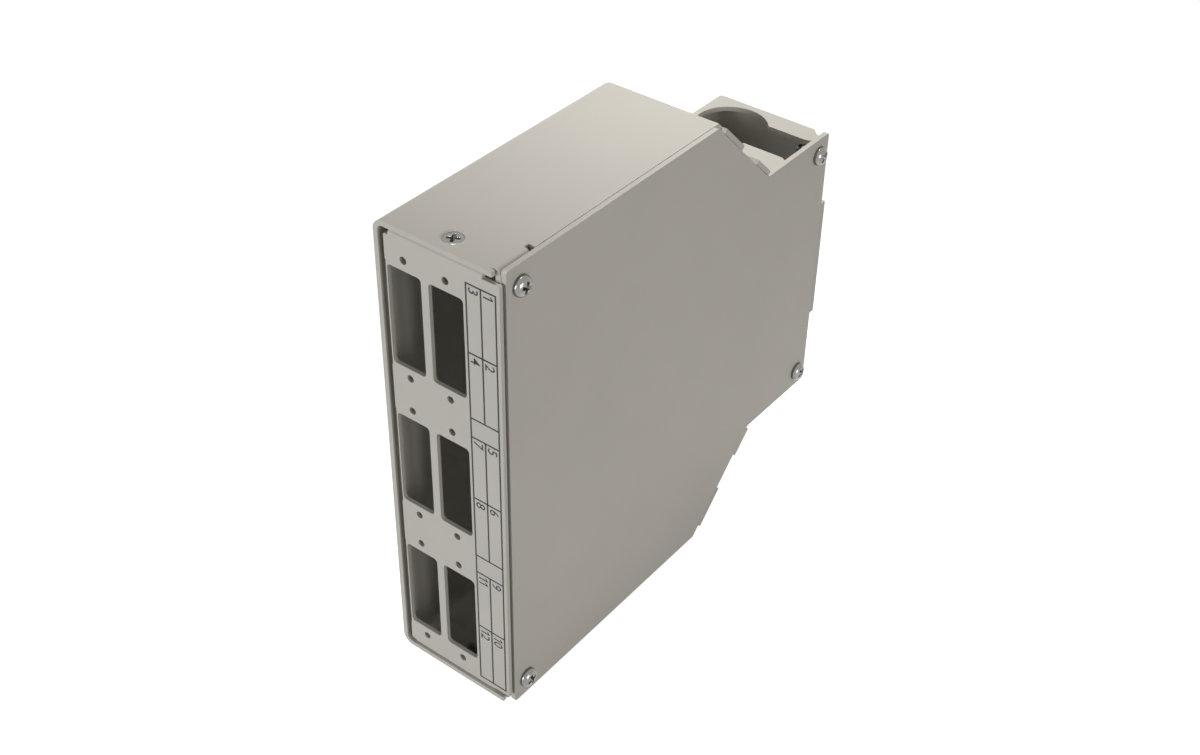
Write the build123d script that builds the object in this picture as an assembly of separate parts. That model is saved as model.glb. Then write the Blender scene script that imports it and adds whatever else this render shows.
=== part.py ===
from build123d import *
import os
from math import sqrt

# Fibre splice box for a 35 mm mounting rail, folded from sheet steel, in millimetres.
# Working frame: x from the left wall outwards to the side cover, y from the front edge
# back to the rail, z up from the face that the box stands on.

# Box body
body_width = 34.5
body_height = 124.0
body_depth = 126.0
sheet = 1.25
bend_inner = 1.5
flat_depth = 77.0
shoulder = 23.3
neck_step = 0.6
edge_gap = 0.15

# Side cover
cover_setback = 1.7
cover_corner = 0.8
slope_gap = 0.1
cover_screw_y = 6.0
cover_screw_edge = 5.2
neck_screw_y = 4.3
neck_screw_edge = 4.7

# Cover tabs on the housing
tab_bend = 0.5
front_tab_start = 1.45
front_slit = 0.4
front_clip = 1.05
front_tab_depth = 9.6
front_tab_height = 10.4
rear_tab_depth = 7.4
rear_tab_height = 8.6
rear_tab_gap = 0.4
corner_clip = 3.0
relief_width = 1.5
relief_depth = 2.0
slope_notch_length = 9.8
slope_notch_depth = 4.5
slope_notch_offset = 1.2
slope_lip_start = 1.4
slope_lip_end = 1.3

# Front panel with its adapter cut-outs
panel_sheet = 1.0
panel_setback = 0.1
panel_corner = 1.25
panel_edge_round = 0.5
panel_right_inset = 0.4
panel_bend = 0.4
panel_flange_depth = 10.0
panel_flange_width = 25.5
panel_fit_gap = 0.1
panel_screw_x = 17.9
panel_screw_y = 4.9
rows = 3
row_pitch = 39.6
rows_below_middle = 0.5
edge_strip = 0.5
column_pitch = 11.55
cutout_width = 9.5
cutout_height = 25.5
cutout_corner = 1.0
adapter_hole = 1.9
adapter_hole_spacing = 30.7
strip_relief = 0.2
strip_relief_height = 27.5

# Cable entry in the top and bottom of the neck
entry_hole = 19.0
entry_x = 12.6
entry_inset = 11.5
entry_slot = 11.0
entry_mouth_round = 2.0

# M2.5 hardware
thread = 2.5
clear_hole = 2.9
pan_head = 5.0
pan_height = 1.9
pan_crown = 0.7
drive_width = 0.7
drive_length = 2.7
drive_depth = 1.1
cover_screw_length = 6.0
flat_head = 4.9
dimple_mouth = 5.6
seat_gap = 0.05
panel_screw_length = 4.3
nut_bore_gap = 0.05
press_nut_size = 5.0
press_nut_height = 1.5
press_nut_spigot = 3.8
press_spigot_length = 0.7
press_hole = 3.86

# Splice holder on the left wall
splice_slots = 12
slot_pitch = 3.7
rib_thickness = 0.9
rib_height = 7.5
rib_lip = 0.35
holder_base = 1.4
holder_length = 26.0
holder_ear = 9.0
holder_setback = 46.0
stud_gap = 0.2
stud_length = 5.2
stud_head = 4.4
stud_head_height = 0.6
hex_nut = 5.0
hex_nut_height = 2.0
washer = 6.0
washer_height = 0.5

# Fibre guides on the left wall
guide_width = 6.0
guide_length = 13.0
guide_height = 9.5
guide_wall = 1.2
guide_corner = 1.0
guide_mouth = 2.5
guide_peg = 3.2
peg_gap = 0.1
guide_gap = 0.85
guide_front_spread = 33.0
guide_rear_spread = 12.0

# Cable tie brackets below and above the two entries
tie_sheet = 1.0
tie_bend = 1.0
tie_rise = 6.5
tie_foot = 7.0
tie_reach = 8.0
tie_width = 8.0
tie_head = 12.0
tie_head_length = 5.0
tie_rivet = 3.0
tie_rivet_head = 5.6
tie_rivet_crown = 0.9
tie_drop = 7.0

# Rail bracket with its hook, and the sprung latch
rail_height = 35.0
rail_lip = 1.0
rail_z = 60.0
bracket_sheet = 1.5
bracket_width = 31.0
bracket_inset = 1.8
seat_reach = 5.0
hook_width = 14.0
hook_catch = 2.2
hook_gap = 0.2
latch_sheet = 2.0
latch_gap = 0.05
latch_travel = 4.0
latch_catch = 2.0
latch_shelf = 2.0
latch_tail = 13.0
latch_top_bar = 1.45
latch_corner = 1.5
latch_eye = 4.5
rivet_flat = 0.55
guide_rivet = 3.0
guide_head = 6.0
guide_head_height = 1.0
slot_play = 0.25
lower_rivet_rise = 3.6
window_bar = 1.75
spring_tab_rise = 11.0
spring_tab_width = 6.0
spring_tab_height = 1.5
spring_room = 8.4
spring_outer = 3.0
spring_wire = 0.5
spring_turns = 5
bracket_rivet = 2.4
bracket_rivet_head = 4.8
bracket_rivet_crown = 0.8
bracket_rivet_tail = 1.2
bracket_rivet_spread_x = 22.0
bracket_rivet_spread_z = 26.0

# Worked out from the driving sizes
bend_outer = bend_inner + sheet
slope_step = sheet + slope_gap
wall_right = body_width - sheet
neck_start = flat_depth + shoulder
rear_inner = body_depth - sheet
tab_face = wall_right - sheet
entry_y = body_depth - entry_inset
panel_left = sheet + bend_inner
panel_right = body_width - panel_right_inset
panel_back = panel_setback + panel_sheet
panel_end_drop = panel_sheet + panel_bend
column_x = [panel_left + edge_strip + cutout_width / 2 + n * column_pitch for n in range(2)]
row_middle = body_height / 2 - rows_below_middle
row_z = [row_middle + ((rows - 1) / 2 - n) * row_pitch for n in range(rows)]
shank_radius = thread / 2
nut_bore = shank_radius + nut_bore_gap
seat_y = body_depth + seat_reach
latch_front = body_depth + bracket_sheet + latch_gap
latch_back = latch_front + latch_sheet
hook_inner = seat_y + rail_lip + hook_gap
hook_outer = hook_inner + bracket_sheet
rail_top = rail_z + rail_height / 2
rail_bottom = rail_z - rail_height / 2
bracket_mid = body_width - bracket_inset - bracket_width / 2
cover_screw_spots = [
    (cover_screw_y, body_height - cover_screw_edge),
    (cover_screw_y, cover_screw_edge),
    (body_depth - neck_screw_y, body_height - shoulder - neck_screw_edge),
    (body_depth - neck_screw_y, shoulder + neck_screw_edge),
]
total_width = body_width + pan_height
total_depth = hook_outer
placement = Pos(-total_width / 2, -total_depth / 2, 0)
neck_under = body_height - shoulder - neck_step - sheet
spring_seat = rail_bottom + bracket_sheet + spring_tab_rise
slot_radius = guide_rivet / 2 + slot_play
guide_rivet_heights = [
    rail_bottom + lower_rivet_rise,
    spring_seat + spring_room + window_bar + slot_radius,
]
latch_top = guide_rivet_heights[1] + latch_travel + slot_radius + latch_top_bar
bracket_rivet_spots = [
    (bracket_mid + side * bracket_rivet_spread_x / 2, rail_z + level * bracket_rivet_spread_z / 2)
    for side in (-1, 1)
    for level in (-1, 1)
]
holder_y = body_depth - holder_setback
holder_z = body_height / 2
holder_width = splice_slots * slot_pitch + rib_thickness
stud_spots = [
    (holder_y, holder_z + side * (holder_length + holder_ear) / 2)
    for side in (-1, 1)
]
guide_offset = holder_width / 2 + guide_gap + guide_width / 2
guide_spots = [
    (holder_y + way * guide_offset, holder_z + side * spread)
    for way, spread in ((-1, guide_front_spread), (1, guide_rear_spread))
    for side in (-1, 1)
]
tie_top = neck_under - tie_drop
tie_rivet_height = tie_top - tie_reach - tie_rise - tie_foot / 2
tie_rivet_heights = [tie_rivet_height, body_height - tie_rivet_height]


def outline(front, rear, slope_in, neck_in, all_in):
    """Side outline of the box in y and z from front to rear, moved inwards from the full profile."""
    top = body_height - all_in
    neck_top = body_height - shoulder - neck_in - all_in
    slope_line = flat_depth + body_height - (slope_in + all_in) * sqrt(2)
    upper = [
        (front, top),
        (slope_line - top, top),
        (slope_line - neck_top, neck_top),
        (rear, neck_top),
    ]
    lower = [(y, body_height - z) for y, z in reversed(upper)]
    return upper + lower


def side_plate(points, x_start, thickness):
    """Plate with the given y, z outline, from x_start outwards."""
    face = Plane.YZ * make_face(Polyline(*points, close=True))
    return Pos(x_start, 0, 0) * extrude(face, amount=thickness)


def block(x0, x1, y0, y1, z0, z1):
    """Block between two corners."""
    size = Box(x1 - x0, y1 - y0, z1 - z0, align=(Align.MIN, Align.MIN, Align.MIN))
    return Pos(x0, y0, z0) * size


def rod_x(y, z, radius, x0, x1):
    """Round bar along x."""
    return Pos((x0 + x1) / 2, y, z) * Rot(0, 90, 0) * Cylinder(radius, x1 - x0)


def rod_y(x, z, radius, y0, y1):
    """Round bar along y."""
    return Pos(x, (y0 + y1) / 2, z) * Rot(90, 0, 0) * Cylinder(radius, y1 - y0)


def rod_z(x, y, radius, z0, z1):
    """Round bar along z."""
    return Pos(x, y, (z0 + z1) / 2) * Cylinder(radius, z1 - z0)


def bent_strip(path, thickness, bend, plane, start, end):
    """Folded strip: path is its middle line in the plane, start and end lie along the plane's normal."""
    line = FilletPolyline(*path, radius=bend + thickness / 2)
    section = plane * trace(line, thickness)
    return extrude(Location(plane.z_dir * start) * section, amount=end - start, dir=plane.z_dir)


def both_ends(piece):
    """A cut or tab of the top half and its mirror image in the bottom half."""
    middle = Plane.XY.offset(body_height / 2)
    return piece + mirror(piece, about=middle)


def group(pieces):
    """Like pieces that stay separate solids in one node."""
    return Compound(children=[solid for piece in pieces for solid in piece.solids()])


def front_tab():
    """Tab bent down from the top, which takes the upper front screw of the cover."""
    middle_z = body_height - sheet / 2
    middle_x = wall_right - sheet / 2
    path = [
        (wall_right - relief_depth - sheet, middle_z),
        (middle_x, middle_z),
        (middle_x, body_height - front_tab_height),
    ]
    strip = bent_strip(path, sheet, tab_bend, Plane.XZ, -front_tab_start - front_tab_depth, -front_tab_start)
    return strip - rod_x(cover_screw_y, body_height - cover_screw_edge, press_hole / 2, tab_face - 1, body_width)


def rear_tab():
    """Tab bent forward from the rear wall, which takes the upper neck screw of the cover."""
    middle_y = body_depth - sheet / 2
    middle_x = wall_right - sheet / 2
    path = [
        (wall_right - relief_depth - sheet, middle_y),
        (middle_x, middle_y),
        (middle_x, body_depth - rear_tab_depth),
    ]
    top = neck_under - rear_tab_gap
    strip = bent_strip(path, sheet, tab_bend, Plane.XY, top - rear_tab_height, top)
    spot_z = body_height - shoulder - neck_screw_edge
    return strip - rod_x(body_depth - neck_screw_y, spot_z, press_hole / 2, tab_face - 1, body_width)


def slope_notch():
    """Recess in the free edge of the slope, between its two lips."""
    along = slope_notch_length / sqrt(2) / 2
    middle_y = flat_depth + shoulder / 2 + slope_notch_offset
    middle_z = body_height - shoulder / 2 - slope_notch_offset
    room = 2 * sheet
    points = [
        (middle_y - along - room, middle_z + along - room),
        (middle_y - along + room, middle_z + along + room),
        (middle_y + along + room, middle_z - along + room),
        (middle_y + along - room, middle_z - along - room),
    ]
    return side_plate(points, wall_right - slope_notch_depth, slope_notch_depth + 2 * sheet)


def slope_lips(reach):
    """Slope sheet drawn out to the cover's outer face, past the stepped edge of the cover."""
    full_line = flat_depth + body_height
    thick = sheet / sqrt(2)
    start = flat_depth + slope_lip_start
    end = neck_start - slope_lip_end
    points = [
        (start, full_line - start),
        (end, full_line - end),
        (end - thick, full_line - end - thick),
        (start - thick, full_line - start - thick),
    ]
    return side_plate(points, reach - sheet, body_width - reach + sheet)


def housing():
    """Left wall with top, slopes, necks, rear and bottom folded from it, open to the front and right."""
    reach = wall_right - edge_gap
    beyond = body_depth + 2 * bend_outer
    outer = side_plate(outline(0, beyond, 0, neck_step, 0), 0, reach)
    rim = outer.faces().sort_by(Axis.X)[0].edges()
    outer = fillet(rim.filter_by(lambda e: 0 < e.center().Y < beyond), bend_outer)
    inner = side_plate(outline(-sheet, beyond + sheet, 0, neck_step, sheet), sheet, reach)
    rim = inner.faces().sort_by(Axis.X)[0].edges()
    inner = fillet(rim.filter_by(lambda e: 0 < e.center().Y < beyond), bend_inner)
    shell = outer - inner
    shell -= block(-1, body_width, body_depth, beyond + 1, -1, body_height + 1)

    # Rear wall, bent from the left wall between the two neck plates
    neck_low = body_height - neck_under
    shell -= block(-1, bend_outer, body_depth - bend_outer, body_depth + 1, neck_low, neck_under)
    middle_y = body_depth - sheet / 2
    path = [
        (reach, middle_y),
        (sheet / 2, middle_y),
        (sheet / 2, body_depth - bend_outer - sheet),
    ]
    shell += bent_strip(path, sheet, bend_inner, Plane.XY, neck_low - sheet, neck_under + sheet) & outer

    shell += both_ends(slope_lips(reach))

    # Room for the tabs, with the relief cuts beside them
    edge = wall_right - relief_depth
    tab_end = front_tab_start + front_tab_depth
    low = body_height - 2 * sheet
    high = body_height + sheet
    cuts = block(edge, body_width, front_tab_start - front_slit, tab_end + relief_width, low, high)
    cuts += block(wall_right - front_clip, body_width, -sheet, front_tab_start, low, high)
    rear_top = neck_under - rear_tab_gap
    rear_low = rear_top - rear_tab_height
    cuts += block(edge, body_width, rear_inner - 1, body_depth + 1, rear_low - relief_width, rear_top + rear_tab_gap / 2)
    cuts += slope_notch()

    # Keyhole for the cable, its mouth rounded and open towards the cover
    below = neck_under - sheet
    above = neck_under + 2 * sheet
    keyhole = rod_z(entry_x, entry_y, entry_hole / 2, below, above)
    keyhole += block(entry_x, body_width, entry_y - entry_slot / 2, entry_y + entry_slot / 2, below, above)
    corner = entry_mouth_round
    for side in (-1, 1):
        lip_y = entry_y + side * entry_slot / 2
        square = block(reach - corner, reach + 1, lip_y - corner, lip_y + corner, below, above)
        keyhole += square - rod_z(reach - corner, lip_y + side * corner, corner, below, above)
    clip = make_face(Polyline(
        (reach - corner_clip, body_depth + 0.1),
        (reach + 0.1, body_depth - corner_clip),
        (reach + 0.1, body_depth + 0.1),
        close=True,
    ))
    cuts += keyhole + Pos(0, 0, neck_under) * extrude(clip, amount=2 * sheet)

    # Countersunk hole for the panel screw
    cuts += panel_screw_seat()
    shell -= both_ends(cuts)
    shell += both_ends(front_tab() + rear_tab())

    # Holes in the left wall and the rear wall
    for y, z in stud_spots:
        shell -= rod_x(y, z, shank_radius + nut_bore_gap, -1, bend_outer)
        shell -= rod_x(y, z, stud_head / 2 + nut_bore_gap, -1, stud_head_height)
    for y, z in guide_spots:
        shell -= rod_x(y, z, guide_peg / 2 + peg_gap, -1, bend_outer)
    for z in tie_rivet_heights:
        shell -= rod_x(entry_y, z, tie_rivet / 2 + nut_bore_gap, -1, bend_outer)
    for x, z in bracket_rivet_spots:
        shell -= rod_y(x, z, bracket_rivet / 2 + nut_bore_gap, rear_inner - 1, body_depth + 1)
    return shell


def panel_screw_seat():
    """Cone and clearance hole for the upper panel screw."""
    cone_depth = (dimple_mouth - clear_hole) / 2
    spot = Pos(panel_screw_x, panel_screw_y, body_height - cone_depth / 2)
    cone = spot * Cone(clear_hole / 2, dimple_mouth / 2, cone_depth)
    hole = rod_z(panel_screw_x, panel_screw_y, clear_hole / 2, body_height - 2 * sheet, body_height)
    return cone + hole


def side_cover():
    """Flat cover with the outline of the box and four screw holes."""
    plate = side_plate(outline(cover_setback, body_depth, slope_step, 0, 0), wall_right, sheet)
    corners = plate.edges().filter_by(Axis.X)
    plate = fillet(corners, cover_corner)
    for y, z in cover_screw_spots:
        plate -= rod_x(y, z, clear_hole / 2, wall_right - 1, body_width + 1)
    return plate


def front_panel():
    """Panel with six adapter cut-outs, held by a flange under the top and one over the bottom."""
    top = body_height - sheet - panel_fit_gap
    bottom = sheet + panel_fit_gap
    plate = block(panel_left, panel_right, panel_setback, panel_back, bottom + panel_end_drop,
                  top - panel_end_drop)
    plate = fillet(plate.edges().filter_by(Axis.Y), panel_edge_round)
    flange_left = panel_left + panel_corner
    flange_right = flange_left + panel_flange_width
    half = panel_sheet / 2
    middle_y = panel_setback + half
    path = [
        (panel_setback + panel_flange_depth, top - half),
        (middle_y, top - half),
        (middle_y, bottom + half),
        (panel_setback + panel_flange_depth, bottom + half),
    ]
    plate += bent_strip(path, panel_sheet, panel_bend, Plane.YZ, flange_left, flange_right)
    for x in column_x:
        for z in row_z:
            plate -= adapter_cutout(x, z)
    for z in row_z:
        low = z - strip_relief_height / 2
        plate -= block(0, panel_left + strip_relief, 0, 2 * panel_back, low, low + strip_relief_height)
    room = 2 * panel_sheet
    for z0, z1 in ((top - room, top + 1), (0, bottom + room)):
        plate -= rod_z(panel_screw_x, panel_screw_y, press_hole / 2, z0, z1)
    return plate


def adapter_cutout(x, z):
    """Cut-out of one duplex adapter and its two screw holes."""
    window = RectangleRounded(cutout_width, cutout_height, cutout_corner)
    window += [Pos(0, side * adapter_hole_spacing / 2) * Circle(adapter_hole / 2) for side in (-1, 1)]
    return Pos(x, 2 * panel_back, z) * extrude(Plane.XZ * window, amount=4 * panel_back)


def pan_screw():
    """Pan head screw, its head from z = 0 upwards and its shank below."""
    radius = pan_head / 2
    profile = make_face(
        Polyline((0, pan_height), (0, -cover_screw_length), (shank_radius, -cover_screw_length),
                 (shank_radius, 0), (radius, 0), (radius, pan_height - pan_crown))
        + ThreePointArc((radius, pan_height - pan_crown), (radius * 0.62, pan_height - pan_crown * 0.2),
                        (0, pan_height))
    )
    screw = revolve(Plane.XZ * profile, Axis.Z)
    recess = Box(drive_length, drive_width, 2 * drive_depth) + Box(drive_width, drive_length, 2 * drive_depth)
    return screw - Pos(0, 0, pan_height) * recess


def flat_screw():
    """Countersunk screw, its flat head level with z = 0 and its shank below."""
    cone = (flat_head - thread) / 2
    screw = Pos(0, 0, -cone / 2) * Cone(shank_radius, flat_head / 2, cone)
    screw += Pos(0, 0, -panel_screw_length / 2) * Cylinder(shank_radius, panel_screw_length)
    recess = Box(drive_length, drive_width, 2 * drive_depth) + Box(drive_width, drive_length, 2 * drive_depth)
    return screw - recess


def press_nut():
    """Press nut: its spigot fills the hole of a sheet below z = 0, its collar stands above."""
    nut = Pos(0, 0, press_nut_height / 2) * Cylinder(press_nut_size / 2, press_nut_height)
    nut += Pos(0, 0, -press_spigot_length / 2) * Cylinder(press_nut_spigot / 2, press_spigot_length)
    return nut - Cylinder(nut_bore, 4 * press_nut_height)


def cover_screws():
    """Four pan head screws that hold the cover."""
    return group([Pos(body_width, y, z) * Rot(0, 90, 0) * pan_screw() for y, z in cover_screw_spots])


def cover_press_nuts():
    """Four press nuts on the inside of the tabs."""
    return group([Pos(tab_face, y, z) * Rot(0, -90, 0) * press_nut() for y, z in cover_screw_spots])


def panel_screws():
    """Two countersunk screws that hold the panel flanges to the top and bottom."""
    sink = (dimple_mouth - flat_head) / 2 - seat_gap
    upper = Pos(panel_screw_x, panel_screw_y, body_height - sink) * flat_screw()
    lower = Pos(panel_screw_x, panel_screw_y, sink) * Rot(180, 0, 0) * flat_screw()
    return group([upper, lower])


def panel_press_nuts():
    """Two press nuts on the inside of the panel flanges."""
    level = sheet + panel_fit_gap + panel_sheet
    upper = Pos(panel_screw_x, panel_screw_y, body_height - level) * Rot(180, 0, 0) * press_nut()
    lower = Pos(panel_screw_x, panel_screw_y, level) * press_nut()
    return group([upper, lower])


def splice_holder():
    """Moulded comb for twelve splice sleeves, with an ear at each end for its stud."""
    body = block(sheet, sheet + holder_base, holder_y - holder_width / 2, holder_y + holder_width / 2,
                 holder_z - holder_length / 2, holder_z + holder_length / 2)
    ear_half = holder_length / 2 + holder_ear
    ears = block(sheet, sheet + holder_base, holder_y - holder_ear / 2, holder_y + holder_ear / 2,
                 holder_z - ear_half, holder_z + ear_half)
    ears = fillet(ears.edges().filter_by(Axis.X), holder_ear / 2 - 0.1)
    body += ears
    lip_z = rib_height * 0.25
    rib_face = make_face(Polyline(
        (sheet, -rib_thickness / 2),
        (sheet + rib_height - lip_z, -rib_thickness / 2),
        (sheet + rib_height - lip_z / 2, -rib_thickness / 2 - rib_lip),
        (sheet + rib_height, -rib_thickness / 4),
        (sheet + rib_height, rib_thickness / 4),
        (sheet + rib_height - lip_z / 2, rib_thickness / 2 + rib_lip),
        (sheet + rib_height - lip_z, rib_thickness / 2),
        (sheet, rib_thickness / 2),
        close=True,
    ))
    rib_length = holder_length * 0.38
    rib = extrude(rib_face, amount=rib_length)
    first = holder_y - splice_slots * slot_pitch / 2
    for n in range(splice_slots + 1):
        y = first + n * slot_pitch
        body += Pos(0, y, holder_z - holder_length / 2) * rib
        body += Pos(0, y, holder_z + holder_length / 2 - rib_length) * rib
    for y, z in stud_spots:
        body -= rod_x(y, z, shank_radius + stud_gap, 0, sheet + 2 * holder_base)
    return body


def holder_stud(y, z):
    """Press stud, flush with the outside of the left wall."""
    head = rod_x(y, z, stud_head / 2, 0, stud_head_height)
    return head + rod_x(y, z, shank_radius, 0, sheet + stud_length)


def holder_washer(y, z):
    """Plain washer on the ear of the holder."""
    start = sheet + holder_base
    disc = rod_x(y, z, washer / 2, start, start + washer_height)
    return disc - rod_x(y, z, shank_radius + stud_gap, 0, 2 * sheet + stud_length)


def holder_nut(y, z):
    """Hexagon nut on its stud."""
    start = sheet + holder_base + washer_height
    face = Plane.YZ * RegularPolygon(hex_nut / 2, 6, major_radius=False)
    body = Pos(start, y, z) * extrude(face, amount=hex_nut_height)
    return body - rod_x(y, z, nut_bore, 0, 2 * sheet + stud_length)


def fibre_guide(y, z):
    """Snap-in guide: a C-shaped loop along z on a peg through the left wall."""
    half = guide_width / 2
    loop = block(sheet, sheet + guide_height, y - half, y + half, z - guide_length / 2, z + guide_length / 2)
    loop = fillet(loop.edges().filter_by(Axis.Z), guide_corner)
    hollow = block(sheet + guide_wall, sheet + guide_height - guide_wall, y - half + guide_wall,
                   y + half - guide_wall, z - guide_length, z + guide_length)
    loop -= hollow
    mouth = block(sheet + guide_height - 2 * guide_wall, sheet + guide_height + 1, y - guide_mouth / 2,
                  y + guide_mouth / 2, z - guide_length, z + guide_length)
    loop -= mouth
    return loop + rod_x(y, z, guide_peg / 2, peg_gap, sheet + guide_wall / 2)


def tie_bracket(top):
    """Folded strip with a T-shaped head, on which the cable is tied below its entry."""
    low = top - tie_reach - tie_rise - tie_foot
    inner_x = sheet + tie_sheet / 2
    outer_x = sheet + tie_rise
    path = [
        (inner_x, low),
        (inner_x, low + tie_foot),
        (outer_x, low + tie_foot + tie_rise),
        (outer_x, top),
    ]
    start = -entry_y - tie_width / 2
    strip = bent_strip(path, tie_sheet, tie_bend, Plane.XZ, start, start + tie_width)
    strip += block(outer_x - tie_sheet / 2, outer_x + tie_sheet / 2, entry_y - tie_head / 2,
                   entry_y + tie_head / 2, top - tie_head_length, top)
    return strip - rod_x(entry_y, low + tie_foot / 2, tie_rivet / 2 + nut_bore_gap, 0, 3 * sheet)


def tie_rivet_piece(z):
    """Rivet that holds a tie bracket, flush outside and domed inside."""
    seat = sheet + tie_sheet
    head = Pos(seat, entry_y, z) * Rot(0, 90, 0) * rivet_head(tie_rivet_head, tie_rivet_crown)
    return head + rod_x(entry_y, z, tie_rivet / 2, 0, seat)


def rivet_head(size, crown):
    """Rivet head above z = 0, a low cone with a flat top."""
    return Pos(0, 0, crown / 2) * Cone(size / 2, size * rivet_flat / 2, crown)


def rail_bracket():
    """Folded bracket behind the rear wall: two cheeks that seat on the rail and a hook over its top."""
    middle_y = body_depth + bracket_sheet / 2
    half = (bracket_width - bracket_sheet) / 2
    path = [
        (bracket_mid - half, seat_y),
        (bracket_mid - half, middle_y),
        (bracket_mid + half, middle_y),
        (bracket_mid + half, seat_y),
    ]
    bracket = bent_strip(path, bracket_sheet, tab_bend, Plane.XY, rail_bottom, rail_top)
    over = rail_top + hook_gap + bracket_sheet / 2
    lip_y = hook_inner + bracket_sheet / 2
    path = [
        (middle_y, rail_top - bracket_sheet * 2),
        (middle_y, over),
        (lip_y, over),
        (lip_y, rail_top - hook_catch),
    ]
    bracket += bent_strip(path, bracket_sheet, tab_bend, Plane.YZ, bracket_mid - hook_width / 2,
                          bracket_mid + hook_width / 2)
    bracket += block(bracket_mid - spring_tab_width / 2, bracket_mid + spring_tab_width / 2, middle_y,
                     latch_back, spring_seat - spring_tab_height, spring_seat)
    for x, z in bracket_rivet_spots:
        bracket -= rod_y(x, z, bracket_rivet / 2 + nut_bore_gap, body_depth - 1, seat_y)
    for z in guide_rivet_heights:
        bracket -= rod_y(bracket_mid, z, guide_rivet / 2 + nut_bore_gap, body_depth - 1, seat_y)
    return bracket


def bracket_rivet_piece(x, z):
    """Blind rivet through the bracket and the rear wall."""
    seat = body_depth + bracket_sheet
    head = Pos(x, seat, z) * Rot(-90, 0, 0) * rivet_head(bracket_rivet_head, bracket_rivet_crown)
    shank = rod_y(x, z, bracket_rivet / 2, rear_inner - bracket_rivet_tail, seat)
    bulb = rod_y(x, z, bracket_rivet * 0.7, rear_inner - bracket_rivet_tail, rear_inner)
    return head + shank + bulb


def guide_rivet_piece(z):
    """Shoulder rivet on which the latch slides."""
    shoulder = latch_back + latch_gap
    shank = rod_y(bracket_mid, z, guide_rivet / 2, body_depth + latch_gap, shoulder)
    return shank + rod_y(bracket_mid, z, guide_head / 2, shoulder, shoulder + guide_head_height)


def rail_latch():
    """Moulded slide with a nose under the rail, two guide slots and a window for its spring."""
    half = hook_width / 2
    bottom = rail_bottom - latch_tail
    latch = block(bracket_mid - half, bracket_mid + half, latch_front, latch_back, bottom, latch_top)
    latch = fillet(latch.edges().filter_by(Axis.Y), latch_corner)
    shelf_top = rail_bottom - hook_gap
    shelf_low = shelf_top - latch_shelf
    nose_top = rail_bottom + latch_catch
    nose = [
        (latch_back - latch_sheet / 2, shelf_low),
        (hook_outer, shelf_low),
        (hook_outer, shelf_top - latch_shelf / 4),
        (hook_inner + bracket_sheet / 3, nose_top),
        (hook_inner, nose_top),
        (hook_inner, shelf_top),
        (latch_back - latch_sheet / 2, shelf_top),
    ]
    latch += side_plate(nose, bracket_mid - half, hook_width)
    for z in guide_rivet_heights:
        latch -= rod_y(bracket_mid, z, slot_radius, body_depth, seat_y)
        latch -= rod_y(bracket_mid, z + latch_travel, slot_radius, body_depth, seat_y)
        latch -= block(bracket_mid - slot_radius, bracket_mid + slot_radius, body_depth, seat_y,
                       z, z + latch_travel)
    window_half = spring_tab_width / 2 + slot_play
    window_low = spring_seat - spring_tab_height - slot_play
    latch -= block(bracket_mid - window_half, bracket_mid + window_half, body_depth, seat_y, window_low,
                   spring_seat + spring_room)
    latch -= rod_y(bracket_mid, bottom + latch_eye, latch_eye / 2, body_depth, seat_y)
    return latch


def latch_spring():
    """Compression spring between the tab of the bracket and the top of the latch window."""
    radius = (spring_outer - spring_wire) / 2
    height = spring_room - spring_wire
    coil = Helix(height / spring_turns, height, radius)
    wire = sweep(Plane(coil @ 0, z_dir=coil % 0) * RegularPolygon(spring_wire / 2, 6), path=coil, is_frenet=True)
    spring_y = latch_front + spring_outer / 2
    return Pos(bracket_mid, spring_y, spring_seat + spring_wire / 2) * wire


def write_parts():
    """Write each node to its own file."""
    nodes = {
        "housing_shell": housing(),
        "side_cover": side_cover(),
        "cover_screws": cover_screws(),
        "cover_press_nuts": cover_press_nuts(),
        "front_panel": front_panel(),
        "panel_screws": panel_screws(),
        "panel_press_nuts": panel_press_nuts(),
        "splice_holder": splice_holder(),
        "holder_studs": group([holder_stud(y, z) for y, z in stud_spots]),
        "holder_washers": group([holder_washer(y, z) for y, z in stud_spots]),
        "holder_nuts": group([holder_nut(y, z) for y, z in stud_spots]),
        "fibre_guides": group([fibre_guide(y, z) for y, z in guide_spots]),
        "upper_tie_bracket": tie_bracket(tie_top),
        "lower_tie_bracket": mirror(tie_bracket(tie_top), about=Plane.XY.offset(body_height / 2)),
        "tie_bracket_rivets": group([tie_rivet_piece(z) for z in tie_rivet_heights]),
        "rail_bracket": rail_bracket(),
        "bracket_rivets": group([bracket_rivet_piece(x, z) for x, z in bracket_rivet_spots]),
        "rail_latch": rail_latch(),
        "latch_guide_rivets": group([guide_rivet_piece(z) for z in guide_rivet_heights]),
        "latch_spring": latch_spring(),
    }
    os.makedirs("parts", exist_ok=True)
    for name, piece in nodes.items():
        export_step(placement * piece, f"parts/{name}.step")
    return nodes


write_parts()
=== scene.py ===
import bmesh
import bpy
from math import cos, pi, radians, sin, tau
from mathutils import Euler, Matrix, Vector


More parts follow.
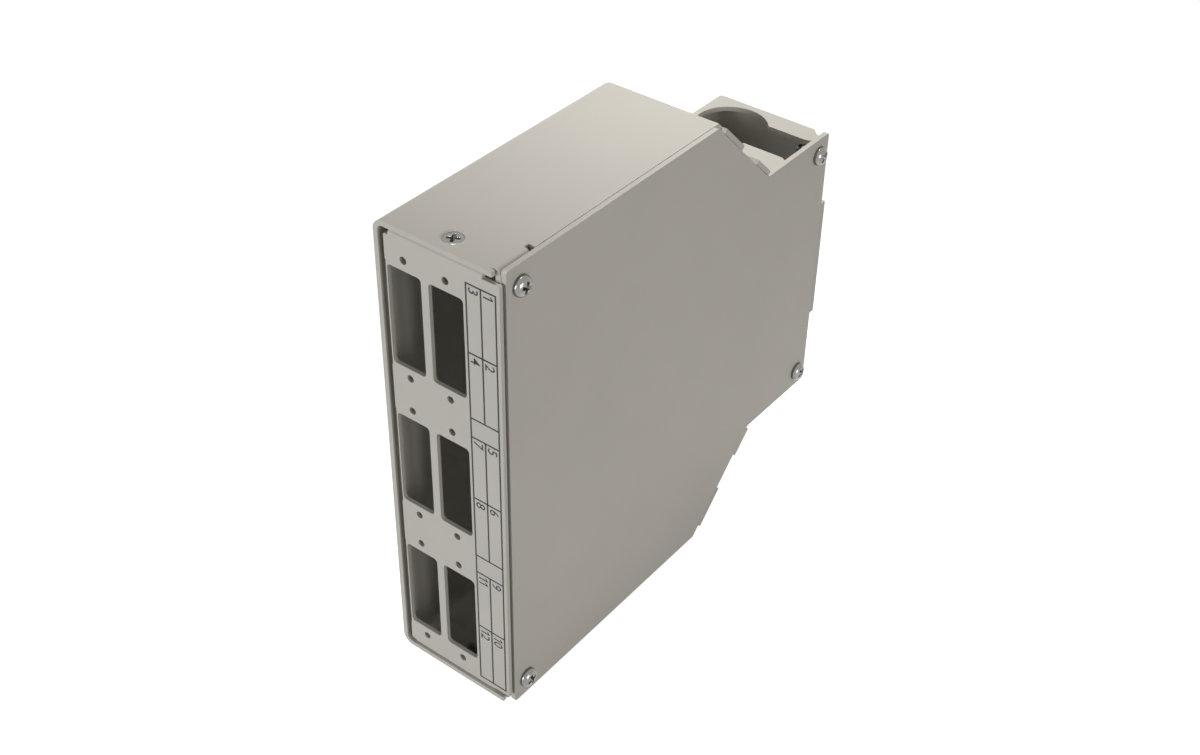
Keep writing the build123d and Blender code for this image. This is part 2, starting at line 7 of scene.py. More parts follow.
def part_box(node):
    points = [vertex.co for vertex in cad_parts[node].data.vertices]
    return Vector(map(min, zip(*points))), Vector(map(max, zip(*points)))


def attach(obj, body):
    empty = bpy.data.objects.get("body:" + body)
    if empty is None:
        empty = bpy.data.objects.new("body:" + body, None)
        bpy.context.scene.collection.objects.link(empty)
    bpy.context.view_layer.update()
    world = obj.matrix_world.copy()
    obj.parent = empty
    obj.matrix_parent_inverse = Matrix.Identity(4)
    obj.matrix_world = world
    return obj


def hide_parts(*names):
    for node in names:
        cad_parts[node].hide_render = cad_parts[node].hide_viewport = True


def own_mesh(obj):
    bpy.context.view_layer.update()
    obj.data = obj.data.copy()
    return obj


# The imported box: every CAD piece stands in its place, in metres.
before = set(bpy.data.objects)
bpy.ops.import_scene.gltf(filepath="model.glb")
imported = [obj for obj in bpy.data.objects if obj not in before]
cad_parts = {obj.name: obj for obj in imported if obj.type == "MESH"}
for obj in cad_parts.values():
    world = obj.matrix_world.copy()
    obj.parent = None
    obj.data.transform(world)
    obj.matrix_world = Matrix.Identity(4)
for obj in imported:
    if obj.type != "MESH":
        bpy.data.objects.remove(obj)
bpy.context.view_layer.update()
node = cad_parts
mm = 0.001


# Folded housing: one blank of 1.25 mm sheet steel, its wall, top, slopes, necks, rear and bottom
# bent from it, then powder coated in a light warm grey. The coat has a fine, slightly pebbled
# surface and rounds off every cut edge of the sheet.
coat_colour = (0.520, 0.494, 0.440, 1)
coat_roughness = 0.62
coat_roughness_drift = 0.06
coat_specular = 0.35
coat_patch_shade = 0.955
coat_pebble = 0.35 * mm
coat_pebble_depth = 0.012 * mm
coat_patch = 38 * mm
sheet_edge_round = 0.16 * mm
sharp_angle = radians(35)
noise_low = 0.3
noise_high = 0.7


def new_finish(name, colour, roughness, metallic=0.0):
    """Material with a plain shader, the base of every finish here."""
    finish = bpy.data.materials.new(name)
    finish.use_nodes = True
    shader = finish.node_tree.nodes["Principled BSDF"]
    shader.inputs["Base Color"].default_value = colour
    shader.inputs["Roughness"].default_value = roughness
    shader.inputs["Metallic"].default_value = metallic
    return finish, finish.node_tree.nodes, finish.node_tree.links, shader


def add_noise(nodes, links, size, detail=3.0):
    """Noise in the object's own space, with grains of about the given size in metres."""
    place = nodes.new("ShaderNodeTexCoord")
    scale = nodes.new("ShaderNodeMapping")
    scale.inputs["Scale"].default_value = [1 / size] * 3
    noise = nodes.new("ShaderNodeTexNoise")
    noise.inputs["Scale"].default_value = 1.0
    noise.inputs["Detail"].default_value = detail
    links.new(place.outputs["Object"], scale.inputs["Vector"])
    links.new(scale.outputs["Vector"], noise.inputs["Vector"])
    return noise.outputs["Fac"]


def add_bump(nodes, links, shader, height, depth):
    """Surface relief of the given depth in metres."""
    bump = nodes.new("ShaderNodeBump")
    bump.inputs["Distance"].default_value = depth
    bump.inputs["Strength"].default_value = 1.0
    links.new(height, bump.inputs["Height"])
    links.new(bump.outputs["Normal"], shader.inputs["Normal"])


def spread(nodes, links, value, low, high):
    """Noise, which keeps mostly near its middle, spread over the whole way between two numbers."""
    ramp = nodes.new("ShaderNodeMapRange")
    ramp.inputs["From Min"].default_value = noise_low
    ramp.inputs["From Max"].default_value = noise_high
    ramp.inputs["To Min"].default_value = low
    ramp.inputs["To Max"].default_value = high
    links.new(value, ramp.inputs["Value"])
    return ramp.outputs["Result"]


def tint(nodes, links, shader, value, colour, shade):
    """Base colour that drifts between colour times shade and colour."""
    mix = nodes.new("ShaderNodeMix")
    mix.data_type = "RGBA"
    mix.inputs["A"].default_value = [c * shade for c in colour[:3]] + [1]
    mix.inputs["B"].default_value = colour
    links.new(value, mix.inputs["Factor"])
    links.new(mix.outputs["Result"], shader.inputs["Base Color"])


def powder_coat(name, colour):
    """Baked powder coat: fine pebble, faint patches in tone and gloss."""
    finish, nodes, links, shader = new_finish(name, colour, coat_roughness)
    patches = add_noise(nodes, links, coat_patch, detail=4.0)
    pebble = add_noise(nodes, links, coat_pebble, detail=2.0)
    tint(nodes, links, shader, spread(nodes, links, patches, 0.0, 1.0), colour, coat_patch_shade)
    smoothest = coat_roughness - coat_roughness_drift
    roughest = coat_roughness + coat_roughness_drift
    links.new(spread(nodes, links, pebble, smoothest, roughest), shader.inputs["Roughness"])
    shader.inputs["Specular IOR Level"].default_value = coat_specular
    add_bump(nodes, links, shader, pebble, coat_pebble_depth)
    return finish


def dress(name, finish, edge_round, segments=2):
    """Give a CAD piece its finish and round its sharp edges."""
    piece = node[name]
    piece.data.materials.clear()
    piece.data.materials.append(finish)
    bevel = piece.modifiers.new("edges", "BEVEL")
    bevel.width = edge_round
    bevel.segments = segments
    bevel.limit_method = "ANGLE"
    bevel.angle_limit = sharp_angle
    bevel.use_clamp_overlap = True
    bevel.harden_normals = False


light_coat = powder_coat("light_grey_coat", coat_colour)
dress("housing_shell", light_coat, sheet_edge_round)


# Side cover: a flat plate with the outline of the box, in the same coat.
# It lies on the open side of the housing and is held by four screws.
dress("side_cover", light_coat, sheet_edge_round)


# Front panel: a plate with six cut-outs for fibre adapters and a flange at either end,
# which slides in behind the top and bottom edges of the housing.
panel_edge_round = 0.09 * mm

dress("front_panel", light_coat, panel_edge_round)


# Port grid: thin dark lines and port numbers, screen printed on the right side of the panel,
# one tall cell for each port. The numbers lie on their side and read from top to bottom.
ink_colour = (0.014, 0.014, 0.014, 1)
ink_roughness = 0.55
ink_grain = 0.12 * mm
ink_shade = 0.4
ink_lift = 0.02 * mm
ink_depth = 0.05 * mm
line_width = 0.42 * mm
grid_from_right = (8.95 * mm, 5.0 * mm, 1.1 * mm)
grid_rows = 3
grid_row_pitch = 39.9 * mm
grid_cell_height = 17.35 * mm
grid_top_above_middle = 56.5 * mm
number_height = 2.6 * mm
number_weight = 0.004
number_print_depth = ink_lift + ink_depth
figure_gap = 0.45 * mm
one_stroke = 0.38 * mm
one_flag_reach = 0.55 * mm
one_flag_drop = 0.5 * mm
one_flag_stroke = 0.42 * mm
number_from_line = 0.65 * mm
number_below_line = 0.75 * mm

panel_low, panel_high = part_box("front_panel")
panel_front = panel_low.y
panel_middle = (panel_low.z + panel_high.z) / 2
column_lines = [panel_high.x - inset for inset in grid_from_right]
row_tops = [panel_middle + grid_top_above_middle - n * grid_row_pitch for n in range(grid_rows)]

ink, nodes, links, shader = new_finish("printing_ink", ink_colour, ink_roughness)
ink_cover = add_noise(nodes, links, ink_grain, detail=2.0)
tint(nodes, links, shader, spread(nodes, links, ink_cover, 0.0, 1.0), ink_colour, ink_shade)


def new_piece(name, mesh, finish):
    """Put a finished mesh in the scene under its name."""
    piece = bpy.data.objects.new(name, mesh)
    bpy.context.scene.collection.objects.link(piece)
    if finish:
        mesh.materials.append(finish)
    return piece


def mesh_from(name, build):
    """Mesh whose geometry is added by the given function."""
    work = bmesh.new()
    build(work)
    mesh = bpy.data.meshes.new(name)
    work.to_mesh(mesh)
    work.free()
    return mesh


def add_block(work, low, high):
    """Closed block between two corners."""
    corners = [work.verts.new((x, y, z)) for x in (low[0], high[0]) for y in (low[1], high[1])
               for z in (low[2], high[2])]
    for ring in ((0, 1, 3, 2), (4, 6, 7, 5), (0, 4, 5, 1), (2, 3, 7, 6), (0, 2, 6, 4), (1, 5, 7, 3)):
        work.faces.new([corners[n] for n in ring])


def grid_lines(work):
    """The printed lines: outer columns run through, the middle one stops between the rows."""
    front = panel_front - ink_lift
    back = panel_front + ink_depth
    half = line_width / 2
    left, middle, right = column_lines
    grid_low = row_tops[-1] - 2 * grid_cell_height
    for x in column_lines:
        if x == middle:
            runs = [(top - 2 * grid_cell_height, top) for top in row_tops]
        else:
            runs = [(grid_low - half, row_tops[0] + half)]
        for low, high in runs:
            add_block(work, (x - half, front, low), (x + half, back, high))
    for top in row_tops:
        for step in range(3):
            z = top - step * grid_cell_height
            add_block(work, (left + half, front, z - half), (right - half, back, z + half))


port_grid = new_piece("port_grid", mesh_from("port_grid", grid_lines), ink)
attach(port_grid, "box")


def join_rings(work, last, ring):
    """Band of faces between two rings of as many points, or between a single point and a ring."""
    steps = max(len(last), len(ring))
    for n in range(steps):
        m = (n + 1) % steps
        corners = [last[n % len(last)], ring[n % len(ring)], ring[m % len(ring)], last[m % len(last)]]
        work.faces.new(list(dict.fromkeys(corners)))


def figure_one(work):
    """The figure 1 with its flag, as a thin plate with its lower left corner at the origin."""
    flag_top = number_height - one_flag_drop
    outline = [(one_flag_reach, 0), (one_flag_reach + one_stroke, 0),
               (one_flag_reach + one_stroke, number_height), (one_flag_reach, number_height),
               (0, flag_top), (0, flag_top - one_flag_stroke),
               (one_flag_reach, number_height - one_flag_stroke)]
    face = [work.verts.new((x, y, number_print_depth)) for x, y in outline]
    back = [work.verts.new((x, y, 0)) for x, y in outline]
    work.faces.new(face)
    work.faces.new(list(reversed(back)))
    join_rings(work, face, back)
    bmesh.ops.recalc_face_normals(work, faces=work.faces)


def figure_mesh(figure):
    """Thin plate of another figure with its lower left corner at the origin, of the printed height."""
    words = bpy.data.curves.new("figure", "FONT")
    words.body = figure
    words.size = 1.0
    words.extrude = 0.01
    words.offset = number_weight
    words.resolution_u = 4
    holder = bpy.data.objects.new("figure", words)
    mesh = bpy.data.meshes.new_from_object(holder)
    bpy.data.objects.remove(holder)
    low = [min(v.co[n] for v in mesh.vertices) for n in range(3)]
    high = [max(v.co[n] for v in mesh.vertices) for n in range(3)]
    size = number_height / (high[1] - low[1])
    flat = number_print_depth / (high[2] - low[2])
    mesh.transform(Matrix.Diagonal((size, size, flat, 1)) @ Matrix.Translation([-c for c in low]))
    return mesh


def number_mesh(text):
    """Thin plates of a number's figures side by side, from the origin to the right."""
    work = bmesh.new()
    reach = 0
    for figure in text:
        mesh = mesh_from("figure", figure_one) if figure == "1" else figure_mesh(figure)
        mesh.transform(Matrix.Translation((reach, 0, 0)))
        reach = max(v.co.x for v in mesh.vertices) + figure_gap
        work.from_mesh(mesh)
        bpy.data.meshes.remove(mesh)
    joined = bpy.data.meshes.new("number")
    work.to_mesh(joined)
    work.free()
    return joined


# A number's own right is down the panel and its own top is to the panel's right.
sideways = Matrix(((0, 1, 0, 0), (0, 0, -1, 0), (-1, 0, 0, 0), (0, 0, 0, 1)))
numbers = bmesh.new()
for row, top in enumerate(row_tops):
    for column in range(2):
        for cell in range(2):
            port = row * 4 + (1 - column) * 2 + cell + 1
            across = column_lines[column] + number_from_line
            height = top - cell * grid_cell_height - number_below_line
            spot = Vector((across, panel_front + ink_depth, height))
            print_mesh = number_mesh(str(port))
            print_mesh.transform(Matrix.Translation(spot) @ sideways)
            numbers.from_mesh(print_mesh)
            bpy.data.meshes.remove(print_mesh)
number_print = bpy.data.meshes.new("port_numbers")
numbers.to_mesh(number_print)
numbers.free()
port_numbers = new_piece("port_numbers", number_print, ink)
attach(port_numbers, "box")


# Cover and panel screws: M2.5 machine screws with a cross recess, cold headed, rolled thread,
# bright nickel plated. Pan heads hold the cover, countersunk heads hold the panel.
nickel_colour = (0.27, 0.262, 0.248, 1)
nickel_roughness = 0.19
nickel_polish = (0.12, 0.26)
nickel_marks = 0.5 * mm
nickel_mark_depth = 0.006 * mm
# Dark colour for the walls of the cross recess: painted shade where the recess lies in shadow.
recess_painted_shade_colour = (0.12, 0.115, 0.11, 1)
recess_roughness = 0.4
screw_radius = 1.23 * mm
thread_pitch = 0.45 * mm
thread_depth = 0.23 * mm
turn_steps = 28
steps_per_pitch = 6
head_steps = 56
tip_share = 0.82
thread_overlap = 0.05 * mm
head_edge_round = 0.04 * mm
head_edge_angle = radians(40)
head_smooth_angle = radians(32)
recess_reach = 1.55 * mm
recess_foot = 0.5 * mm
recess_half_width = 0.42 * mm
recess_foot_width = 0.26 * mm
recess_depth = 1.25 * mm
cutter_rise = 0.2 * mm
cutter_flare = 1.1
recess_wall_steepness = 0.9
pan_profile = ((0.0, 1.90), (0.8, 1.86), (1.5, 1.72), (2.0, 1.46), (2.34, 1.06), (2.5, 0.6), (2.48, 0.12),
               (2.36, 0.0), (1.21, 0.0))
cover_screw_turns = [radians(angle) for angle in (12, 70, 38, 55)]
panel_screw_turn = radians(28)
flat_profile = ((0.0, 0.0), (2.2, 0.0), (2.44, -0.06), (2.44, -0.14), (1.21, -1.37))

nickel, nodes, links, shader = new_finish("nickel_screw", nickel_colour, nickel_roughness, metallic=1.0)
head_marks = add_noise(nodes, links, nickel_marks, detail=4.0)
links.new(spread(nodes, links, head_marks, *nickel_polish), shader.inputs["Roughness"])
add_bump(nodes, links, shader, head_marks, nickel_mark_depth)
# Second finish of the screws: the painted shade on the recess walls.
recess_painted_shade_finish = new_finish("screw_recess_painted_shade", recess_painted_shade_colour, recess_roughness, metallic=1.0)[0]


def add_ring(work, radius, height, steps):
    """Points on a circle about z, in metres."""
    return [work.verts.new((radius * cos(tau * n / steps), radius * sin(tau * n / steps), height))
            for n in range(steps)]


def add_lathed(work, profile):
    """Turned surface about z from (radius, height) points in millimetres, open at its last ring."""
    last = None
    for radius, height in profile:
        if radius:
            ring = add_ring(work, radius * mm, height * mm, head_steps)
        else:
            ring = [work.verts.new((0, 0, height * mm))]
        if last:
            join_rings(work, last, ring)
        last = ring
    return last


def add_thread(work, top, bottom):
    """Rolled thread about z between two heights, closed by a chamfered tip."""
    count = int((top - bottom) / thread_pitch * steps_per_pitch)
    last = None
    for level in range(count + 1):
        z = top - (top - bottom) * level / count
        ring = []
        for n in range(turn_steps):
            phase = (z / thread_pitch + n / turn_steps) % 1.0
            cut = thread_depth * abs(2 * phase - 1)
            fade = min(1.0, (count - level) / steps_per_pitch)
            radius = (screw_radius - cut) * (tip_share + (1 - tip_share) * fade)
            angle = tau * n / turn_steps
            ring.append(work.verts.new((radius * cos(angle), radius * sin(angle), z)))
        if last:
            join_rings(work, last, ring)
        else:
            work.faces.new(ring)
        last = ring
    work.faces.new(list(reversed(last)))


def slot_cutter(work, top, turned):
    """Tapered bar that cuts one slot of the cross recess."""
    rings = []
    mouth = (top + cutter_rise, recess_reach * cutter_flare, recess_half_width * cutter_flare)
    foot = (top - recess_depth, recess_foot, recess_foot_width)
    for z, reach, half in (mouth, foot):
        ring = [(-reach, -half), (reach, -half), (reach, half), (-reach, half)]
        if turned:
            ring = [(-y, x) for x, y in ring]
        rings.append([work.verts.new((x, y, z)) for x, y in ring])
    upper, lower = rings
    work.faces.new(upper)
    work.faces.new(list(reversed(lower)))
    join_rings(work, upper, lower)
    bmesh.ops.recalc_face_normals(work, faces=work.faces)


def closed_head(work, profile):
    """Turned head, closed underneath."""
    work.faces.new(reversed(add_lathed(work, profile)))
    bmesh.ops.recalc_face_normals(work, faces=work.faces)


def screw_mesh(name, profile, length):
    """One screw along z, its head's seat or top at z = 0, its recess cut out and its recess walls set
    apart for a painted shade.
    """
    top = max(height for _, height in profile) * mm
    seat = min(height for _, height in profile) * mm
    body = new_piece("head", mesh_from(name, lambda work: closed_head(work, profile)), None)
    cutters = []
    for turned in (False, True):
        bar = mesh_from("cutter", lambda work: slot_cutter(work, top, turned))
        cutters.append(new_piece("cutter", bar, None))
        cut = body.modifiers.new("recess", "BOOLEAN")
        cut.operation = "DIFFERENCE"
        cut.solver = "EXACT"
        cut.object = cutters[-1]
    edge = body.modifiers.new("edges", "BEVEL")
    edge.width = head_edge_round
    edge.segments = 2
    edge.limit_method = "ANGLE"
    edge.angle_limit = head_edge_angle
    bpy.context.view_layer.update()
    made = bpy.data.meshes.new_from_object(body.evaluated_get(bpy.context.evaluated_depsgraph_get()))
    for helper in cutters + [body]:
        bpy.data.objects.remove(helper)
    work = bmesh.new()
    work.from_mesh(made)
    add_thread(work, seat + thread_overlap, -length)
    bmesh.ops.recalc_face_normals(work, faces=work.faces)
    # Faces on the walls of the cross recess take the second slot, the painted recess shade.
    for face in work.faces:
        middle = face.calc_center_median()
        sunk = top - recess_depth - head_edge_round < middle.z < top - 2 * head_edge_round
        steep = abs(face.normal.z) < recess_wall_steepness
        face.material_index = int(sunk and steep and middle.xy.length < recess_reach)
    work.to_mesh(made)
    work.free()
    return made


def screw_set(name, mesh, spots, replaced):
    """Copies of one screw at their places, as one piece that stands for the CAD node."""
    work = bmesh.new()
    for spot, turn in spots:
        copy = mesh.copy()
        copy.transform(Matrix.Translation(spot) @ turn)
        work.from_mesh(copy)
        bpy.data.meshes.remove(copy)
    joined = bpy.data.meshes.new(name)
    work.to_mesh(joined)
    work.free()
    piece = new_piece(name, joined, nickel)
    # The second slot holds the painted shade of the recesses.
    joined.materials.append(recess_painted_shade_finish)
    for face in joined.polygons:
        face.use_smooth = True
    joined.set_sharp_from_angle(angle=head_smooth_angle)
    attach(piece, "box")
    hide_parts(replaced)


def solids_of(name):
    """Boxes (low, high) of the separate solids of a CAD node."""
    mesh = node[name].data
    work = bmesh.new()
    work.from_mesh(mesh)
    bmesh.ops.remove_doubles(work, verts=work.verts, dist=1e-7)
    left = set(work.verts)
    found = []
    while left:
        front = [left.pop()]
        island = []
        while front:
            vert = front.pop()
            island.append(vert.co.copy())
            for edge in vert.link_edges:
                other = edge.other_vert(vert)
                if other in left:
                    left.remove(other)
                    front.append(other)
        low = Vector([min(point[n] for point in island) for n in range(3)])
        high = Vector([max(point[n] for point in island) for n in range(3)])
        found.append((low, high))
    work.free()
    return sorted(found, key=lambda pair: tuple(round(c, 5) for c in pair[0]))


cover_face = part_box("side_cover")[1].x
cover_screw_solids = solids_of("cover_screws")
pan_mesh = screw_mesh("pan_screw", pan_profile, cover_face - cover_screw_solids[0][0].x)
pan_spots = []
for (low, high), angle in zip(cover_screw_solids, cover_screw_turns):
    middle = (low + high) / 2
    turn = Matrix.Rotation(radians(90), 4, "Y") @ Matrix.Rotation(angle, 4, "Z")
    pan_spots.append((Vector((cover_face, middle.y, middle.z)), turn))
screw_set("cover_screw_set", pan_mesh, pan_spots, "cover_screws")

panel_screw_solids = solids_of("panel_screws")
panel_screw_length = panel_screw_solids[0][1].z - panel_screw_solids[0][0].z
flat_mesh = screw_mesh("flat_screw", flat_profile, panel_screw_length)
flat_spots = []
for low, high in panel_screw_solids:
    middle = (low + high) / 2
    up = middle.z > panel_middle
    turn = Matrix.Rotation(0 if up else pi, 4, "X") @ Matrix.Rotation(panel_screw_turn, 4, "Z")
    flat_spots.append((Vector((middle.x, middle.y, high.z if up else low.z)), turn))
screw_set("panel_screw_set", flat_mesh, flat_spots, "panel_screws")


# Press nuts, holder studs, washers and nuts, latch guide rivets and cable tie brackets:
# steel, zinc plated and passivated to a cool silver with a faint bluish and straw-coloured cast.
zinc_colour = (0.36, 0.365, 0.37, 1)
zinc_roughness = 0.38
zinc_polish = (0.30, 0.48)
zinc_cast = 6 * mm
zinc_cast_shade = 0.86
zinc_grain = 0.4 * mm
zinc_grain_depth = 0.008 * mm
zinc_edge_round = 0.12 * mm
washer_edge_round = 0.06 * mm

zinc, nodes, links, shader = new_finish("zinc_steel", zinc_colour, zinc_roughness, metallic=1.0)
cast = add_noise(nodes, links, zinc_cast)
grain = add_noise(nodes, links, zinc_grain, detail=4.0)
tint(nodes, links, shader, spread(nodes, links, cast, 0.0, 1.0), zinc_colour, zinc_cast_shade)
links.new(spread(nodes, links, grain, *zinc_polish), shader.inputs["Roughness"])
add_bump(nodes, links, shader, grain, zinc_grain_depth)
for name in ("cover_press_nuts", "panel_press_nuts", "holder_studs", "holder_nuts", "latch_guide_rivets",
             "upper_tie_bracket", "lower_tie_bracket"):
    dress(name, zinc, zinc_edge_round)
dress("holder_washers", zinc, washer_edge_round)


# Blind rivets: plain aluminium, dulled by handling. One holds each tie bracket to the left wall,
# and four hold the rail bracket to the rear wall.
rivet_colour = (0.46, 0.46, 0.45, 1)
rivet_roughness = 0.42
rivet_polish = (0.34, 0.52)
rivet_grain = 1.2 * mm
rivet_grain_depth = 0.01 * mm
rivet_shade = 0.85
rivet_edge_round = 0.18 * mm

aluminium, nodes, links, shader = new_finish("bare_aluminium", rivet_colour, rivet_roughness, metallic=1.0)
dull = add_noise(nodes, links, rivet_grain, detail=4.0)
tint(nodes, links, shader, spread(nodes, links, dull, 0.0, 1.0), rivet_colour, rivet_shade)
links.new(spread(nodes, links, dull, *rivet_polish), shader.inputs["Roughness"])
add_bump(nodes, links, shader, dull, rivet_grain_depth)
for name in ("tie_bracket_rivets", "bracket_rivets"):
    dress(name, aluminium, rivet_edge_round, segments=3)


# Splice holder and fibre guides: injection moulded in pale and in natural white plastic,
# with the soft sheen and faint flow marks of a moulding. The holder stands on two studs.
pale_colour = (0.62, 0.62, 0.58, 1)
pale_roughness = 0.46
white_colour = (0.78, 0.78, 0.74, 1)
white_roughness = 0.4
moulding_grain = 0.3 * mm
moulding_grain_depth = 0.01 * mm
moulding_cloud = 14 * mm
cloud_shade = 0.93
moulding_roughness_drift = 0.07
holder_edge_round = 0.1 * mm
guide_edge_round = 0.12 * mm


def moulding(name, colour, grain_size, roughness):
    """Moulded plastic: eroded mould texture, slight cloudiness."""
    finish, nodes, links, shader = new_finish(name, colour, roughness)
    cloud = add_noise(nodes, links, moulding_cloud)
    eroded = add_noise(nodes, links, grain_size)
    tint(nodes, links, shader, spread(nodes, links, cloud, 0.0, 1.0), colour, cloud_shade)
    smoothest = roughness - moulding_roughness_drift
    roughest = roughness + moulding_roughness_drift
    links.new(spread(nodes, links, eroded, smoothest, roughest), shader.inputs["Roughness"])
    add_bump(nodes, links, shader, eroded, moulding_grain_depth)
    return finish


pale = moulding("pale_moulding", pale_colour, moulding_grain, pale_roughness)
dress("splice_holder", pale, holder_edge_round)
white = moulding("white_moulding", white_colour, moulding_grain, white_roughness)
dress("fibre_guides", white, guide_edge_round)


# Rail bracket: folded from 1.5 mm steel and coated like the box, riveted to its rear wall.
# Its hook takes the upper lip of the rail.
bracket_colour = (0.50, 0.476, 0.435, 1)

dress("rail_bracket", powder_coat("bracket_coat", bracket_colour), sheet_edge_round)


# Rail latch: a slide moulded in dark plastic that springs up under the rail,
# pulled down by its eye. It rides on two shoulder rivets.
latch_colour = (0.028, 0.028, 0.030, 1)
latch_roughness = 0.5
latch_grain = 0.25 * mm
latch_edge_round = 0.15 * mm

dark = moulding("dark_moulding", latch_colour, latch_grain, latch_roughness)
dress("rail_latch", dark, latch_edge_round)


# Latch spring: drawn steel wire coiled around a vertical line, its end turns closed. It stands
# on the tab of the rail bracket, under the top of the latch's window. The real spring shortens as
# the latch is pulled down; this coil rides with the box and keeps its length.
spring_colour = (0.42, 0.42, 0.43, 1)
spring_roughness = 0.32
spring_polish = (0.26, 0.42)
spring_grain = 0.2 * mm
spring_shade = 0.8
spring_wire = 0.25 * mm
spring_turns = 7
spring_closed = 0.9
steps_per_turn = 28
wire_sides = 10

spring_low, spring_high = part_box("latch_spring")
spring_middle = (spring_low + spring_high) / 2
spring_radius = (spring_high.x - spring_low.x) / 2 - spring_wire
spring_length = spring_high.z - spring_low.z


def coil_height(turn):
    """Height of the wire's middle after so many turns: closed end turns, open ones between."""
    closed = spring_closed * 2 * spring_wire
    open_rise = (spring_length - 2 * spring_wire - 2 * closed) / (spring_turns - 2 * spring_closed)
    rise = min(turn, spring_closed) * 2 * spring_wire
    rise += max(0, min(turn, spring_turns - spring_closed) - spring_closed) * open_rise
    rise += max(0, turn - spring_turns + spring_closed) * 2 * spring_wire
    return spring_low.z + spring_wire + rise


def spring_coil(work):
    """Round wire along the helix, closed at both ends."""
    last = None
    for step in range(spring_turns * steps_per_turn + 1):
        turn = step / steps_per_turn
        out = Vector((cos(tau * turn), sin(tau * turn), 0))
        middle = Vector((spring_middle.x, spring_middle.y, coil_height(turn))) + out * spring_radius
        ring = []
        for n in range(wire_sides):
            angle = tau * n / wire_sides
            away = out * cos(angle) + Vector((0, 0, sin(angle)))
            ring.append(work.verts.new(middle + away * spring_wire))
        if last:
            join_rings(work, last, ring)
        else:
            work.faces.new(ring)
        last = ring
    work.faces.new(last)
    bmesh.ops.recalc_face_normals(work, faces=work.faces)


spring_steel, nodes, links, shader = new_finish("spring_steel", spring_colour, spring_roughness,
                                                metallic=1.0)
drawn = add_noise(nodes, links, spring_grain)
tint(nodes, links, shader, spread(nodes, links, drawn, 0.0, 1.0), spring_colour, spring_shade)
links.new(spread(nodes, links, drawn, *spring_polish), shader.inputs["Roughness"])
coil = new_piece("coiled_spring", mesh_from("coiled_spring", spring_coil), spring_steel)
for face in coil.data.polygons:
    face.use_smooth = True
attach(coil, "box")
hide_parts("latch_spring")
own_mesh(coil)


# Studio: a pale floor and an even white surround, a soft lamp low in front, another low on the
# cover's side, and a spot from above that fades towards the front of the box.
floor_colour = (0.5, 0.5, 0.5, 1)
floor_roughness = 0.9
floor_half = 4.0
floor_drop = 0.2 * mm
floor_glow = 0.92
surround = 0.17
lamp_size = 0.6
lamp_aim = Vector((0, 0, 0.06))
front_place = (-0.35, -1.15, 0.22)
front_power = 9.7
cool_light = (0.94, 0.965, 1.0)
side_place = (1.15, -0.25, 0.22)
side_power = 5.8
white_light = (1.0, 1.0, 1.0)
spot_aim = Vector((0, 0.03, 0.12))


def floor_face(work):
    """The floor's single face."""
    work.faces.new([work.verts.new((x, y, 0)) for x, y in ((-1, -1), (1, -1), (1, 1), (-1, 1))])
    bmesh.ops.scale(work, vec=(floor_half, floor_half, 1), verts=work.verts)


def seen_directly(nodes, links):
    """One for rays that see the backdrop from the camera, in a reflection or through glass."""
    sight = nodes.new("ShaderNodeLightPath")
    mirrored = nodes.new("ShaderNodeMath")
    mirrored.operation = "MAXIMUM"
    seen = nodes.new("ShaderNodeMath")
    seen.operation = "MAXIMUM"
    links.new(sight.outputs["Is Glossy Ray"], mirrored.inputs[0])
    links.new(sight.outputs["Is Transmission Ray"], mirrored.inputs[1])
    links.new(sight.outputs["Is Camera Ray"], seen.inputs[0])
    links.new(mirrored.outputs["Value"], seen.inputs[1])
    return seen.outputs["Value"]


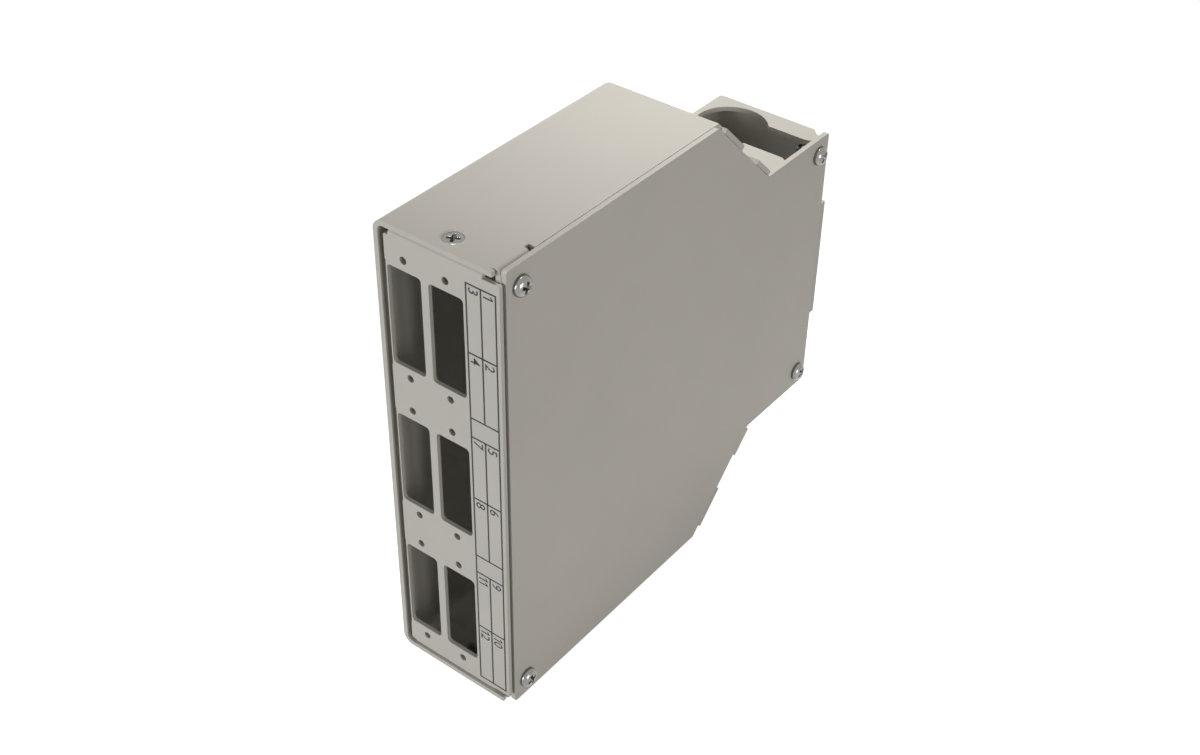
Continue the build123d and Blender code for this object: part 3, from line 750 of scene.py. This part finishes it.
paper, nodes, links, shader = new_finish("floor_paper", floor_colour, floor_roughness)
shader.inputs["Specular IOR Level"].default_value = 0.0
shader.inputs["Emission Color"].default_value = (1, 1, 1, 1)
seen = seen_directly(nodes, links)
glow = nodes.new("ShaderNodeMath")
glow.operation = "MULTIPLY"
glow.inputs[1].default_value = floor_glow
links.new(seen, glow.inputs[0])
links.new(glow.outputs["Value"], shader.inputs["Emission Strength"])
floor = new_piece("floor", mesh_from("floor", floor_face), paper)
floor.location.z = -floor_drop

world = bpy.data.worlds.new("surround")
bpy.context.scene.world = world
world.use_nodes = True
nodes = world.node_tree.nodes
links = world.node_tree.links
sky = nodes["Background"]
sky.inputs["Color"].default_value = (1, 1, 1, 1)
level = nodes.new("ShaderNodeMapRange")
level.inputs["To Min"].default_value = surround
level.inputs["To Max"].default_value = 1.0
links.new(seen_directly(nodes, links), level.inputs["Value"])
links.new(level.outputs["Result"], sky.inputs["Strength"])


def add_lamp(name, place, power, colour):
    """Soft square lamp that faces the middle of the box."""
    lamp = bpy.data.lights.new(name, "AREA")
    lamp.shape = "SQUARE"
    lamp.size = lamp_size
    lamp.energy = power
    lamp.color = colour
    holder = bpy.data.objects.new(name, lamp)
    bpy.context.scene.collection.objects.link(holder)
    holder.location = place
    holder.rotation_euler = (lamp_aim - Vector(place)).to_track_quat("-Z", "Y").to_euler()
    return holder


add_lamp("front_lamp", front_place, front_power, cool_light)
add_lamp("side_lamp", side_place, side_power, white_light)

spot = bpy.data.lights.new("overhead_lamp", "SPOT")
spot.energy = 41.0
spot.spot_size = radians(17)
spot.spot_blend = 1.0
spot.shadow_soft_size = 0.09
overhead = bpy.data.objects.new("overhead_lamp", spot)
bpy.context.scene.collection.objects.link(overhead)
overhead.location = (-0.25, 0.2, 1.0)
overhead.rotation_euler = (spot_aim - overhead.location).to_track_quat("-Z", "Y").to_euler()


# Camera: where the photograph was taken from, above the front right corner of the box,
# fitted to the corners of the box.
eye = bpy.data.cameras.new("photo_camera")
eye.sensor_fit = "HORIZONTAL"
eye.sensor_width = 36
eye.lens = 50.637
eye.shift_x = -0.00224
eye.shift_y = -0.02652
eye.clip_start = 0.01
camera = bpy.data.objects.new("photo_camera", eye)
bpy.context.scene.collection.objects.link(camera)
camera.location = (0.19578, -0.27097, 0.31015)
camera.rotation_euler = Euler([radians(angle) for angle in (53.244, -0.911, 37.74)], "XYZ")
bpy.context.scene.camera = camera

bpy.context.scene.view_settings.view_transform = "Standard"
